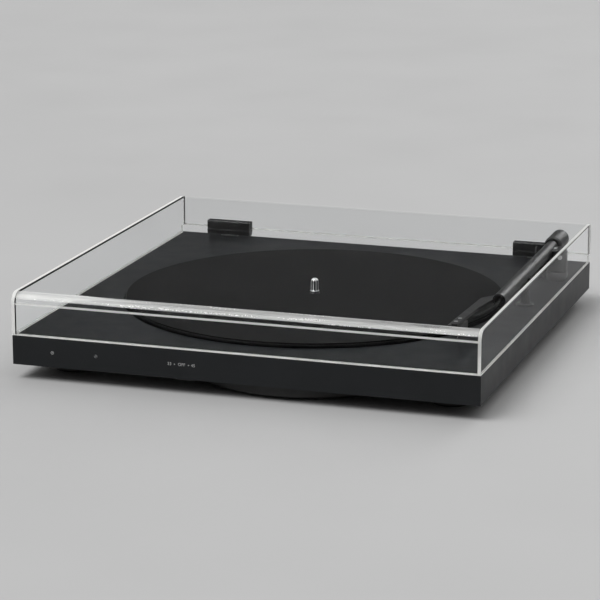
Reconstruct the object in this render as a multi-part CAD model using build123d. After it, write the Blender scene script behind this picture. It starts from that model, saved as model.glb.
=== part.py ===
from build123d import *
import os
from math import acos, atan2, cos, hypot, pi, radians, sin, tan

# Belt-driven record player: a thin plinth under a flush clear lid.
# X runs to the right, Y to the back, Z up. The origin is on the table under the middle of the plinth.

# Plinth
SIDE_MARGIN = 64.0
DEPTH_MARGIN = 65.0
PLINTH_T = 22.4
PLINTH_WALL = 3.0
DECK_T = 3.0
PLINTH_EDGE = 0.6
COVER_T = 2.0
COVER_GAP = 0.3
UNDER_GAP = 11.7
BOSS_INSET = 10.5
BOSS_R = 3.5
BOSS_HOLE_R = 1.1
PILOT_LEN = 9.0
COVER_SCREW_HOLE_R = 1.6
SLOT_GAP = 0.4

# Feet
FOOT_INSET_X = 32.5
FOOT_INSET_Y = 43.0
FOOT_R = 16.0
PAD_R = 13.0
PAD_T = 1.6
PAD_SINK = 1.0
FOOT_SCREW_R = 2.0
FEET = [(-1, -1), (1, -1), (-1, 1), (1, 1)]

# Round pod under the plinth, which holds the motor and the main board
POD_X = 24.0
POD_INSET = 5.0
POD_R = 104.0
POD_DROP = 8.7
POD_WALL = 2.4
POD_EDGE = 2.0
VENT_ROWS = 9
VENT_PITCH = 6.0
VENT_L = 44.0
VENT_W = 2.4

# Platter and its well
PLATTER_Y = -4.0
PLATTER_R = 150.5
PLATTER_RISE = 2.2
PLATTER_SKIN = 2.0
PLATTER_RIM = 3.0
PLATTER_SKIRT = 9.5
WELL_GAP = 1.0
WELL_DEPTH = 12.0
WELL_WALL = 2.4
MAT_INSET = 1.0
MAT_T = 1.3
HUB_R = 14.0
HUB_LIFT = 4.5
BELT_RING_R = 78.0
BELT_RING_WALL = 2.6
WINDOW_L = 58.0
WINDOW_W = 22.0

# Spindle and its bearing
SPINDLE_R = 3.6
SHANK_R = 4.0
SHANK_RISE = 0.3
SPINDLE_RISE = 15.5
SPINDLE_COLLAR = 1.9
CROWN_R = 3.2
FLUTES = 9
FLUTE_PHASE = 7.8
FLUTE_R = 0.75
FLUTE_RISE = 0.3
BUSH_R = 8.0
BUSH_FLANGE_R = 12.0
BUSH_FLANGE_T = 2.0
BUSH_FLOOR = 2.4
BUSH_DROP = 4.5
BALL_R = 2.0
RUN_GAP = 0.05

# Drive
MOTOR_X = -45.0
MOTOR_AHEAD = 81.0
MOTOR_R = 16.0
MOTOR_H = 10.5
MOTOR_PLATE_T = 1.5
MOTOR_SHAFT_R = 1.0
MOTOR_SCREW_ANGLES = (30, 150, 270)
MOTOR_SCREW_R = 13.0
PULLEY_DROP = 2.4
PULLEY_R = 6.0
PULLEY_H = 8.0
BELT_T = 0.8
BELT_H = 4.0
BELT_GAP = 0.15

# Lid
LID_H = 33.2
SHEET = 2.6
FRONT_BEND_R = 8.0
BACK_BEND_R = 4.0
LID_GAP = 0.3
BACK_PANEL_GAP = 6.5

# Lid hinges
HINGE_INSET = 45.5
HINGE_W = 39.0
HINGE_TOP = 13.0
HINGE_BOTTOM = 1.6
HINGE_PROUD = 4.5
HINGE_AXIS_Z = 4.6
BARREL_R = 3.7
PIN_R = 1.1
KNUCKLE_R = 2.4
KNUCKLE_W = 15.0
KNUCKLE_GAP = 0.35
STEM_T = 3.0
TONGUE_DROP = 12.0
HINGE_SCREW_DX = (-4.0, 4.0)
HINGE_SCREW_DROP = 8.0
HINGE_SCREW_R = 0.9

# Tonearm
ARM_INSET_X = 14.0
ARM_INSET_Y = 67.8
ARM_Z = 22.4
TUBE_DX = 7.0
TUBE_R = 5.1
TUBE_WALL = 1.0
TUBE_AHEAD = 163.2
TUBE_BEHIND = 14.8
TUBE_DROP_DEG = 0.65
BASE_R = 8.8
BASE_H = 7.0
BASE_FOOT_IN = 1.3
BASE_LIP_IN = 0.7
SEAM = 0.4
POST_R = 8.3
POST_TOP = 25.2
POST_FLAT_DX = 1.5
POST_FLAT_Z = 16.5
ARM_SHAFT_R = 3.0
RACE_R = 5.4
RACE_H = 3.5
BASE_TUBE_R = 7.0
BASE_TUBE_DROP = 14.0
TILT_PIN_R = 1.5
SET_SCREW_DEG = -62.0
SET_SCREW_RISE = 20.2
NUT_T = 3.0

# Counterweight
STUB_R = 3.8
STUB_L = 28.0
WEIGHT_R = 7.3
WEIGHT_GAP = 2.0
WEIGHT_L = 30.0

# Headshell and cartridge
BLADE_T = 2.2
BLADE_DROP_DEG = 2.0
BLADE_LAP = 10.0
BLADE_TIP_R = 1.6
BLADE_SHOULDER_R = 6.0
BLADE_REACH = 72.0
BLADE_PLAN = [(-4.6, 18), (-6.3, BLADE_LAP), (-14.2, 0.5), (-19.5, -66), (-18.3, -BLADE_REACH),
              (-13.9, -BLADE_REACH), (-12.5, -56), (-9.5, -25.5), (-3.7, 2), (-2, 18)]
STYLUS_DX = -16.2
STYLUS_REACH = 61.0
STYLUS_DROP = 12.4
CART_YAW_DEG = 6.0
CART_W = 10.0
CART_L = 17.0
CART_NOSE = 8.0
CART_H = 7.0
CART_SCREW_Y = (-3.5, 5.0)
PIN_ROWS = [(-1.8, -2.8), (1.8, -2.8), (-1.8, -5.6), (1.8, -5.6)]
PIN_L = 3.0
LEAD_R = 0.5
LEAD_BENDS = [(-4.3, -16, -3.4), (-9.5, -31, -5.2)]

# Arm rest
REST_DX = 1.5
REST_AHEAD = 88.2
HOOK_T = 1.9
REST_R = 3.6
REST_FLANGE_R = 7.0
REST_GAP = 0.3
STUD_R = 1.8

# Cueing lift
LIFT_DX = -6.0
LIFT_DY = 5.8
LIFT_R = 4.2
LIFT_ROD_R = 2.0
LIFT_GAP = 0.25
LIFT_BAR_T = 1.8
LIFT_BAR_AHEAD = 18.2
LIFT_TOP = 11.5
LIFT_SPIGOT_R = 3.0
LEVER_Z = 8.0
LEVER_LEN = 16.4
LEVER_LEAN = 31.0

# Controls and lamp on the front edge
SWITCH_X = -45.3
SWITCH_INSET = 8.0
SWITCH_W = 14.5
SWITCH_D = 4.5
SWITCH_REACH = 2.7
SWITCH_TRAVEL = 5.0
PAIR_INSET_X = 31.2
PAIR_INSET_Y = 7.0
PAIR_W = 7.3
PAIR_D = 4.0
PAIR_REACH = 2.4
PAIR_TRAVEL = 1.2
LED_INSET = 67.8
LED_Z = -10.7
LED_R = 1.4

# Circuit boards
PCB_T = 1.6
BOARD_Z = 21.0
BOARD_SCREW_R = 1.0
FRONT_BOARD_INSET = 20.5
FRONT_BOARD_END = 21.3
FRONT_BOARD_GAP = 4.6
FRONT_BOARD_D = 14.4
BOARD_POST_X = (-132.0, -66.0)
BOARD_POST_INSET = 15.0
MAIN_BOARD_DX = (-6.0, 84.0)
MAIN_BOARD_DY = (-14.0, 40.0)
MAIN_BOARD_RISE = 3.6

# Sockets in the rear recess
RECESS_X0 = -100.0
RECESS_X1 = -20.0
RECESS_DEPTH = 13.0
PANEL_T = 2.0
CHEEK_T = 2.0
JACK_R = 4.15
JACK_SHOULDER_R = 4.6
JACK_L = 9.0
JACK_X = -88.0
JACK_PITCH = 18.0
GROUND_X = -52.0
INLET_X = -32.0

# Levels worked out from the sizes above
UNDER = UNDER_GAP
TOP = UNDER + PLINTH_T
DECK_UNDER = TOP - DECK_T
COVER_TOP = UNDER + COVER_T
WELL_R = PLATTER_R + WELL_GAP
MAT_R = PLATTER_R - MAT_INSET
WELL_FLOOR = TOP - WELL_DEPTH
WELL_UNDER = WELL_FLOOR - WELL_WALL
MAT_TOP = TOP + PLATTER_RISE + MAT_T
POD_FLOOR = UNDER - POD_DROP + POD_WALL
HALF_W = PLATTER_R + SIDE_MARGIN / 2
HALF_D = PLATTER_R + DEPTH_MARGIN / 2
FOOT_X = HALF_W - FOOT_INSET_X
FOOT_Y = HALF_D - FOOT_INSET_Y
POD_Y = POD_R + POD_INSET - HALF_D
MOTOR_Y = PLATTER_Y - MOTOR_AHEAD
HINGE_X = HALF_W - HINGE_INSET
ARM_X = HALF_W - ARM_INSET_X
ARM_Y = HALF_D - ARM_INSET_Y
TUBE_X = ARM_X - TUBE_DX
TUBE_FRONT_Y = ARM_Y - TUBE_AHEAD
TUBE_REAR_Y = ARM_Y + TUBE_BEHIND
POST_FLAT_X = ARM_X - POST_FLAT_DX
STUB_REAR_Y = TUBE_REAR_Y + STUB_L
WEIGHT_FRONT_Y = TUBE_REAR_Y + WEIGHT_GAP
BLADE_ROOT_Y = TUBE_FRONT_Y + BLADE_LAP
STYLUS_X = TUBE_X + STYLUS_DX
STYLUS_Y = TUBE_FRONT_Y - STYLUS_REACH
REST_X = TUBE_X + REST_DX
REST_Y = ARM_Y - REST_AHEAD
LIFT_X = TUBE_X + LIFT_DX
LIFT_Y = ARM_Y + LIFT_DY
LIFT_BAR_Y = ARM_Y - LIFT_BAR_AHEAD
SWITCH_Y = SWITCH_INSET - HALF_D
PAIR_X = PAIR_INSET_X - HALF_W
PAIR_Y = PAIR_INSET_Y - HALF_D
LED_X = LED_INSET - HALF_W
FRONT_BOARD = (FRONT_BOARD_INSET - HALF_W, SWITCH_X + FRONT_BOARD_END, FRONT_BOARD_GAP - HALF_D,
               FRONT_BOARD_GAP + FRONT_BOARD_D - HALF_D)
BOARD_POSTS = [(x, BOARD_POST_INSET - HALF_D) for x in BOARD_POST_X]
MAIN_BOARD = (POD_X + MAIN_BOARD_DX[0], POD_X + MAIN_BOARD_DX[1],
              POD_Y + MAIN_BOARD_DY[0], POD_Y + MAIN_BOARD_DY[1])
HINGE_Y = HALF_D - BARREL_R
HINGE_Z = TOP + HINGE_AXIS_Z
TILT_Z = TOP + ARM_Z
BUSH_FOOT = UNDER - BUSH_DROP
BUSH_TOP = WELL_FLOOR + BUSH_FLANGE_T
PULLEY_TOP = TOP - PULLEY_DROP
SWITCH_SLOT = SWITCH_W / 2 + SWITCH_TRAVEL + SLOT_GAP
PANEL_BACK_Y = HALF_D - RECESS_DEPTH - PANEL_T
PANEL_FACE_Y = PANEL_BACK_Y + PANEL_T
BOSS_X = HALF_W - BOSS_INSET
BOSS_Y = HALF_D - BOSS_INSET
BOSSES = [(-BOSS_X, -BOSS_Y), (BOSS_X, -BOSS_Y), (-BOSS_X, BOSS_Y), (BOSS_X, BOSS_Y), (-BOSS_X, PLATTER_Y),
          (BOSS_X, PLATTER_Y), (0, BOSS_Y)]
PIECES = {}
BOARD_SCREWS = []


def block(x0, x1, y0, y1, z0, z1):
    """A box between two corners."""
    return Pos((x0 + x1) / 2, (y0 + y1) / 2, (z0 + z1) / 2) * Box(x1 - x0, y1 - y0, z1 - z0)


def rod(x, y, z0, z1, radius):
    """An upright cylinder."""
    return Pos(x, y, (z0 + z1) / 2) * Cylinder(radius, z1 - z0)


def rod_x(x0, x1, y, z, radius):
    """A cylinder along X."""
    return Pos((x0 + x1) / 2, y, z) * Rot(0, 90, 0) * Cylinder(radius, x1 - x0)


def rod_y(x, y0, y1, z, radius):
    """A cylinder along Y."""
    return Pos(x, (y0 + y1) / 2, z) * Rot(90, 0, 0) * Cylinder(radius, y1 - y0)


def turned(points, x=0.0, y=0.0):
    """A turned piece: an outline of radius and height, spun about an upright axis."""
    wire = Polyline(*[(r, 0, z) for r, z in points], close=True)
    return Pos(x, y, 0) * revolve(make_face(wire), Axis.Z)


def rod_between(start, end, radius):
    """A cylinder from one point to another."""
    run = Vector(*end) - Vector(*start)
    return extrude(Plane(start, z_dir=run) * Circle(radius), run.length)


def side_plate(points, x0, x1):
    """A plate across X with an outline of Y and Z."""
    wire = Polyline(*[(x0, y, z) for y, z in points], close=True)
    return extrude(make_face(wire), x1 - x0, dir=(1, 0, 0))


def keep(name, *solids):
    """Name a piece, which may be a group of like solids."""
    PIECES[name] = solids[0] if len(solids) == 1 else Compound(children=list(solids))


def screw(x, y, z_head, length, head_r=2.8, head_h=1.8, shank_r=1.2, up=1):
    """A pan-head screw whose head sits at z_head and whose shank points up or down."""
    head = rod(x, y, min(z_head, z_head - up * head_h), max(z_head, z_head - up * head_h), head_r)
    tip = z_head + up * length
    return head + rod(x, y, min(z_head, tip), max(z_head, tip), shank_r)


def plinth_shell():
    """Moulded plinth: deck, skirt, platter well, screw bosses and the openings for what it carries."""
    body = block(-HALF_W, HALF_W, -HALF_D, HALF_D, UNDER, TOP)
    body = fillet(body.edges().group_by(Axis.Z)[-1] + body.edges().filter_by(Axis.Z), PLINTH_EDGE)
    body -= block(-HALF_W + PLINTH_WALL, HALF_W - PLINTH_WALL, -HALF_D + PLINTH_WALL, HALF_D - PLINTH_WALL,
                  UNDER, DECK_UNDER)
    for x, y in BOSSES:
        body += rod(x, y, COVER_TOP, DECK_UNDER, BOSS_R)
    for sx, sy in FEET:
        body += rod(sx * FOOT_X, sy * FOOT_Y, COVER_TOP, DECK_UNDER, BOSS_R + 1.0)
    body += rod(0, PLATTER_Y, WELL_UNDER, TOP, WELL_R + WELL_WALL)
    body -= rod(0, PLATTER_Y, WELL_FLOOR, TOP + 1, WELL_R)
    body -= rod(0, PLATTER_Y, WELL_UNDER - 1, WELL_FLOOR + 1, BUSH_R)
    body -= rod(MOTOR_X, MOTOR_Y, WELL_UNDER - 1, WELL_FLOOR + 1, PULLEY_R + 1.5)
    for angle in MOTOR_SCREW_ANGLES:
        sx, sy = motor_screw_place(angle)
        body -= rod(sx, sy, WELL_UNDER - 1, WELL_FLOOR + 1, 1.3)
    body -= rod(ARM_X, ARM_Y, DECK_UNDER - 1, TOP + 1, BASE_TUBE_R)
    body -= rod(REST_X, REST_Y, DECK_UNDER - 1, TOP + 1, STUD_R)
    body -= rod(LIFT_X, LIFT_Y, DECK_UNDER - 1, TOP + 1, LIFT_SPIGOT_R)
    for x, y in BOARD_POSTS:
        body += rod(x, y, BOARD_Z + PCB_T, DECK_UNDER, 2.6)
        body -= rod(x, y, BOARD_Z, DECK_UNDER - 1, BOARD_SCREW_R)
    body -= rod_y(LED_X, -HALF_D - 1, -HALF_D + PLINTH_WALL + 1, TOP + LED_Z, LED_R)
    body -= block(RECESS_X0, RECESS_X1, HALF_D - PLINTH_WALL - 1, HALF_D + 1, UNDER - 1, DECK_UNDER)
    for sx in (-1, 1):
        body -= hinge_tongue_space(sx * HINGE_X)
    for x, y in BOSSES:
        body -= rod(x, y, COVER_TOP - 1, COVER_TOP + PILOT_LEN, BOSS_HOLE_R)
    for sx, sy in FEET:
        body -= rod(sx * FOOT_X, sy * FOOT_Y, COVER_TOP - 1, COVER_TOP + PILOT_LEN, FOOT_SCREW_R)
    return body


def bottom_cover():
    """Bottom pan with the round pod moulded into it, open over the rear sockets."""
    in_w = HALF_W - PLINTH_WALL - COVER_GAP
    in_d = HALF_D - PLINTH_WALL - COVER_GAP
    plate = block(-in_w, in_w, -in_d, in_d, UNDER, COVER_TOP)
    plate -= block(RECESS_X0, RECESS_X1, PANEL_FACE_Y, HALF_D, UNDER - 1, COVER_TOP + 1)
    pod = rod(POD_X, POD_Y, UNDER - POD_DROP, COVER_TOP, POD_R)
    pod = fillet(pod.edges().group_by(Axis.Z)[0], POD_EDGE)
    cover = plate + pod
    cover -= rod(POD_X, POD_Y, POD_FLOOR, COVER_TOP + 1, POD_R - POD_WALL)
    for x, y in main_board_corners():
        cover += rod(x, y, POD_FLOOR, POD_FLOOR + MAIN_BOARD_RISE, 2.8)
        cover -= rod(x, y, POD_FLOOR + 0.5, POD_FLOOR + 5, BOARD_SCREW_R)
    for row in range(VENT_ROWS):
        x = POD_X + (row - (VENT_ROWS - 1) / 2) * VENT_PITCH
        cover -= Pos(x, POD_Y, POD_FLOOR) * extrude(SlotOverall(VENT_L, VENT_W, rotation=90), 12, both=True)
    for x, y in BOSSES:
        cover -= rod(x, y, UNDER - 1, COVER_TOP + 1, COVER_SCREW_HOLE_R)
    for sx, sy in FEET:
        cover -= rod(sx * FOOT_X, sy * FOOT_Y, UNDER - 1, COVER_TOP + 1, FOOT_SCREW_R)
    cover -= block(SWITCH_X - SWITCH_SLOT, SWITCH_X + SWITCH_SLOT, SWITCH_Y - SWITCH_D / 2 - SLOT_GAP,
                   SWITCH_Y + SWITCH_D / 2 + SLOT_GAP, UNDER - 1, COVER_TOP + 1)
    cover -= block(PAIR_X - PAIR_W / 2 - SLOT_GAP, PAIR_X + PAIR_W / 2 + SLOT_GAP,
                   PAIR_Y - PAIR_D / 2 - SLOT_GAP, PAIR_Y + PAIR_D / 2 + SLOT_GAP, UNDER - 1, COVER_TOP + 1)
    return cover


def feet():
    """Four round feet with a sunk rubber pad, each held by one screw from below."""
    edge = 1.2
    bodies = []
    screws = []
    pads = []
    for sx, sy in FEET:
        x = sx * FOOT_X
        y = sy * FOOT_Y
        z0 = PAD_T - PAD_SINK
        profile = [(0, z0 + PAD_SINK), (PAD_R + 0.1, z0 + PAD_SINK), (PAD_R + 0.1, z0), (FOOT_R - edge, z0),
                   (FOOT_R, z0 + edge), (FOOT_R - 0.8, UNDER), (0, UNDER)]
        foot = turned(profile, x, y)
        foot -= rod(x, y, z0, UNDER + 1, FOOT_SCREW_R)
        foot -= rod(x, y, z0, z0 + PAD_SINK + 3.0, 4.0)
        bodies.append(foot)
        pads.append(rod(x, y, 0, PAD_T, PAD_R))
        screws.append(screw(x, y, PAD_T + 3.0, UNDER + 6.0, 3.8, 1.9, FOOT_SCREW_R - 0.05))
    keep("feet", *bodies)
    keep("foot_pads", *pads)
    keep("foot_screws", *screws)


def cover_screws():
    """Screws through the bottom cover into the plinth's bosses."""
    keep("cover_screws", *[screw(x, y, UNDER, 9.0, 3.0, 1.4, BOSS_HOLE_R) for x, y in BOSSES])


def platter():
    """Platter: skin, rim skirt, hub and belt ring turned in one, with two windows for fitting the belt."""
    top = TOP + PLATTER_RISE
    skin = top - PLATTER_SKIN
    low = top - PLATTER_SKIRT - PLATTER_SKIN
    profile = [(SHANK_R + 0.02, top), (PLATTER_R - 0.5, top), (PLATTER_R, top - 0.5), (PLATTER_R, low),
               (PLATTER_R - PLATTER_RIM, low), (PLATTER_R - PLATTER_RIM, skin),
               (BELT_RING_R, skin), (BELT_RING_R, low),
               (BELT_RING_R - BELT_RING_WALL, low), (BELT_RING_R - BELT_RING_WALL, skin),
               (HUB_R, skin), (HUB_R, low + HUB_LIFT), (SHANK_R + 0.02, low + HUB_LIFT)]
    disc = turned(profile, 0, PLATTER_Y)
    for side in (0, 180):
        window = Pos(0, PLATTER_Y, 0) * Rot(0, 0, side) * Pos(0, BELT_RING_R + 14, skin)
        disc -= window * extrude(SlotOverall(WINDOW_L, WINDOW_W), PLATTER_SKIN * 2, both=True)
    return disc


def felt_mat():
    """Felt mat, cut round with a hole for the spindle."""
    z0 = TOP + PLATTER_RISE
    hole = SHANK_R + 0.4
    return turned([(hole, z0), (MAT_R, z0), (MAT_R, z0 + MAT_T), (hole, z0 + MAT_T)], 0, PLATTER_Y)


def spindle():
    """Spindle: shaft, a plain collar for the record, and a fluted crown under a round tip."""
    top = TOP + SPINDLE_RISE
    foot = BUSH_FOOT + BUSH_FLOOR + 2 * BALL_R
    neck = MAT_TOP + SHANK_RISE
    collar = MAT_TOP + SPINDLE_COLLAR
    dome_z = top - CROWN_R
    outline = Polyline((0, 0, foot), (SHANK_R - 0.4, 0, foot), (SHANK_R, 0, foot + 0.4),
                       (SHANK_R, 0, neck - SHANK_R + SPINDLE_R), (SPINDLE_R, 0, neck),
                       (SPINDLE_R, 0, collar), (CROWN_R, 0, collar + SPINDLE_R - CROWN_R),
                       (CROWN_R, 0, dome_z))
    shoulder = (CROWN_R * cos(pi / 4), 0, dome_z + CROWN_R * sin(pi / 4))
    dome = ThreePointArc((CROWN_R, 0, dome_z), shoulder, (0, 0, top))
    half = make_face([outline, dome, Line((0, 0, top), (0, 0, foot))])
    shaft = Pos(0, PLATTER_Y, 0) * revolve(half, Axis.Z)
    reach = CROWN_R + FLUTE_R * 0.25
    for i in range(FLUTES):
        a = radians(FLUTE_PHASE + 360 * i / FLUTES)
        shaft -= rod(reach * cos(a), PLATTER_Y + reach * sin(a), collar + FLUTE_RISE, top + 1, FLUTE_R)
    return shaft


def spindle_bearing():
    """Bearing cup for the spindle, flanged onto the floor of the well."""
    bore = SHANK_R + RUN_GAP
    cup = turned([(0, BUSH_FOOT), (BUSH_R - 1, BUSH_FOOT), (BUSH_R, BUSH_FOOT + 1), (BUSH_R, WELL_FLOOR),
                  (BUSH_FLANGE_R, WELL_FLOOR), (BUSH_FLANGE_R, BUSH_TOP - 0.6),
                  (BUSH_FLANGE_R - 0.6, BUSH_TOP), (bore, BUSH_TOP),
                  (bore, BUSH_FOOT + BUSH_FLOOR), (0, BUSH_FOOT + BUSH_FLOOR)], 0, PLATTER_Y)
    keep("bearing_cup", cup)
    keep("thrust_ball", Pos(0, PLATTER_Y, BUSH_FOOT + BUSH_FLOOR + BALL_R) * Sphere(BALL_R))


def motor_screw_place(angle):
    """The place of a motor screw at an angle round the motor."""
    a = radians(angle)
    return MOTOR_X + MOTOR_SCREW_R * cos(a), MOTOR_Y + MOTOR_SCREW_R * sin(a)


def motor():
    """Motor under the well's floor, its plate, screws, shaft and crowned pulley."""
    plate_z = WELL_UNDER - MOTOR_PLATE_T
    can_z = plate_z - MOTOR_H
    can = turned([(0, can_z), (MOTOR_R - 1, can_z), (MOTOR_R, can_z + 1), (MOTOR_R, plate_z), (0, plate_z)],
                 MOTOR_X, MOTOR_Y)
    plate = rod(MOTOR_X, MOTOR_Y, plate_z, WELL_UNDER, MOTOR_R + 3)
    plate -= rod(MOTOR_X, MOTOR_Y, plate_z - 1, WELL_UNDER + 1, MOTOR_SHAFT_R + 1.5)
    can -= rod(MOTOR_X, MOTOR_Y, plate_z - 7, plate_z + 1, MOTOR_SHAFT_R + RUN_GAP)
    screws = []
    for angle in MOTOR_SCREW_ANGLES:
        x, y = motor_screw_place(angle)
        plate -= rod(x, y, plate_z - 1, WELL_UNDER + 1, 1.25)
        can -= rod(x, y, plate_z - 3.5, plate_z + 1, 1.25)
        screws.append(screw(x, y, WELL_FLOOR, 6.0, 2.4, 1.2, 1.2, up=-1))
    keep("motor_can", can)
    keep("motor_plate", plate)
    keep("motor_screws", *screws)
    keep("motor_shaft", rod(MOTOR_X, MOTOR_Y, plate_z - 6, PULLEY_TOP, MOTOR_SHAFT_R))
    low = PULLEY_TOP - PULLEY_H
    pulley = turned([(MOTOR_SHAFT_R + 0.01, low), (PULLEY_R + 1, low), (PULLEY_R + 1, low + 0.8),
                     (PULLEY_R - 0.2, low + 1.2), (PULLEY_R, low + PULLEY_H / 2),
                     (PULLEY_R - 0.2, PULLEY_TOP - 1.2), (PULLEY_R + 1, PULLEY_TOP - 0.8),
                     (PULLEY_R + 1, PULLEY_TOP), (MOTOR_SHAFT_R + 0.01, PULLEY_TOP)], MOTOR_X, MOTOR_Y)
    keep("motor_pulley", pulley)


def belt_loop(grow):
    """The outline round the belt ring and the pulley, grown outwards."""
    big = BELT_RING_R + grow
    small = PULLEY_R + grow
    dx = MOTOR_X
    dy = MOTOR_Y - PLATTER_Y
    span = hypot(dx, dy)
    lean = acos((big - small) / span)
    to_motor = atan2(dy, dx)
    ring = Pos(0, PLATTER_Y) * Circle(big)
    wheel = Pos(MOTOR_X, MOTOR_Y) * Circle(small)
    corners = []
    for cx, cy, r, turn in ((0, PLATTER_Y, big, 1), (MOTOR_X, MOTOR_Y, small, 1),
                            (MOTOR_X, MOTOR_Y, small, -1), (0, PLATTER_Y, big, -1)):
        a = to_motor + turn * lean
        corners.append((cx + r * cos(a), cy + r * sin(a)))
    return ring + wheel + make_face(Polyline(*corners, close=True))


def drive_belt():
    """Flat rubber belt round the belt ring and the pulley."""
    z0 = PULLEY_TOP - PULLEY_H / 2 - BELT_H / 2
    ring = belt_loop(BELT_GAP + BELT_T) - belt_loop(BELT_GAP)
    return Pos(0, 0, z0) * extrude(ring, BELT_H)


def lid_outline(inset):
    """The lid's outline of Y and Z, drawn in by an inset, with its bends."""
    low = TOP + LID_GAP
    high = TOP + LID_H - inset
    face = Pos(0, (low + high) / 2) * Rectangle(2 * HALF_D - 2 * inset, high - low)
    corners = face.vertices().group_by(Axis.Y)[-1].sort_by(Axis.X)
    face = fillet(corners[0], FRONT_BEND_R - inset)
    corners = face.vertices().group_by(Axis.Y)[-1].sort_by(Axis.X)
    return fillet(corners[-1], BACK_BEND_R - inset)


def lid():
    """Clear lid: one sheet bent into front, top and back, and two flat sides."""
    low = TOP + LID_GAP
    inner = lid_outline(SHEET) + Pos(0, low - 1) * Rectangle(2 * HALF_D - 2 * SHEET, 4)
    section = lid_outline(0) - inner
    width = 2 * HALF_W - 2 * SHEET
    sheet = Plane.YZ * section
    sheet = Pos(-width / 2, 0, 0) * extrude(sheet, width, dir=(1, 0, 0))
    sheet -= block(-HALF_W, HALF_W, HALF_D - SHEET - 1, HALF_D + 1, low - 1, TOP + BACK_PANEL_GAP)
    for sx in (-1, 1):
        x = sx * HINGE_X
        sheet -= block(x - HINGE_W / 2, x + HINGE_W / 2, HALF_D - SHEET - 1, HALF_D + 1,
                       low - 1, TOP + HINGE_TOP)
    keep("lid_sheet", sheet)
    relief = block(-HALF_W - 1, HALF_W + 1, HINGE_Y - 2, HALF_D + 1, low - 1, TOP + BACK_PANEL_GAP)
    side = extrude(Plane.YZ * lid_outline(0), SHEET, dir=(1, 0, 0))
    keep("lid_side_left", Pos(-HALF_W, 0, 0) * side - relief)
    keep("lid_side_right", Pos(HALF_W - SHEET, 0, 0) * side - relief)


def hinge_section():
    """Section of the moving hinge block: a bar with a round barrel at its lower back edge."""
    front = HALF_D - SHEET - HINGE_PROUD
    bar = Pos((front + HALF_D) / 2, TOP + (HINGE_TOP + HINGE_BOTTOM) / 2)
    bar *= Rectangle(HALF_D - front, HINGE_TOP - HINGE_BOTTOM)
    top_front = bar.vertices().group_by(Axis.Y)[-1].sort_by(Axis.X)[0]
    bar = fillet(top_front, 0.8)
    corner = Pos(HINGE_Y + BARREL_R, HINGE_Z - BARREL_R) * Rectangle(2 * BARREL_R, 2 * BARREL_R)
    return bar - corner + Pos(HINGE_Y, HINGE_Z) * Circle(BARREL_R)


def hinge_tongue_space(x):
    """The slot in the deck and rear wall for a hinge bracket's tongue, with its two screw holes."""
    slot = block(x - KNUCKLE_W / 2, x + KNUCKLE_W / 2, HINGE_Y - STEM_T / 2, HINGE_Y + STEM_T / 2,
                 TOP - TONGUE_DROP, TOP + 1)
    for dx in HINGE_SCREW_DX:
        slot += rod_y(x + dx, HINGE_Y - 1, HINGE_Y + STEM_T / 2 + 1, TOP - HINGE_SCREW_DROP, HINGE_SCREW_R)
    return slot


def hinges():
    """Two hinges: a moving block in the lid's notch, a fixed bracket in the plinth and a pin."""
    screws = []
    brackets = []
    pins = []
    for name, sx in (("left", -1), ("right", 1)):
        x = sx * HINGE_X
        bar = Pos(x - HINGE_W / 2, 0, 0) * extrude(Plane.YZ * hinge_section(), HINGE_W, dir=(1, 0, 0))
        half_gap = KNUCKLE_W / 2 + KNUCKLE_GAP
        bar -= rod_x(x - half_gap, x + half_gap, HINGE_Y, HINGE_Z, KNUCKLE_R + KNUCKLE_GAP)
        bar -= block(x - half_gap, x + half_gap, HINGE_Y - STEM_T / 2 - KNUCKLE_GAP, HALF_D + 1, TOP,
                     HINGE_Z + STEM_T / 2 + KNUCKLE_GAP)
        bar -= rod_x(x - HINGE_W / 2 + 3, x + HINGE_W / 2 - 3, HINGE_Y, HINGE_Z, PIN_R + RUN_GAP)
        keep("hinge_block_" + name, bar)
        bracket = rod_x(x - KNUCKLE_W / 2, x + KNUCKLE_W / 2, HINGE_Y, HINGE_Z, KNUCKLE_R)
        bracket += block(x - KNUCKLE_W / 2, x + KNUCKLE_W / 2, HINGE_Y - STEM_T / 2, HINGE_Y + STEM_T / 2,
                         TOP - TONGUE_DROP, HINGE_Z)
        bracket -= rod_x(x - KNUCKLE_W / 2 - 1, x + KNUCKLE_W / 2 + 1, HINGE_Y, HINGE_Z, PIN_R)
        inner = HINGE_Y - STEM_T / 2
        screw_z = TOP - HINGE_SCREW_DROP
        for dx in HINGE_SCREW_DX:
            bracket -= rod_y(x + dx, inner - 1, inner + STEM_T + 1, screw_z, HINGE_SCREW_R)
            head = rod_y(x + dx, inner - 1.4, inner, screw_z, 2 * HINGE_SCREW_R)
            screws.append(head + rod_y(x + dx, inner, inner + STEM_T + 0.9, screw_z, HINGE_SCREW_R))
        brackets.append(bracket)
        pins.append(rod_x(x - HINGE_W / 2 + 3.2, x + HINGE_W / 2 - 3.2, HINGE_Y, HINGE_Z, PIN_R))
    keep("hinge_brackets", *brackets)
    keep("hinge_pins", *pins)
    keep("hinge_screws", *screws)


def deck_nut(x, y, bore, across):
    """A six-sided nut against the deck's underside."""
    flats = RegularPolygon(across / 2, 6, major_radius=False) - Circle(bore)
    return Pos(x, y, DECK_UNDER - NUT_T) * extrude(flats, NUT_T)


def deck_nuts():
    """The three nuts that hold the arm base, the arm rest and the lift column."""
    keep("deck_nuts", deck_nut(ARM_X, ARM_Y, BASE_TUBE_R, 18.0), deck_nut(REST_X, REST_Y, STUD_R, 8.0),
         deck_nut(LIFT_X, LIFT_Y, LIFT_SPIGOT_R, 9.0))


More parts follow.
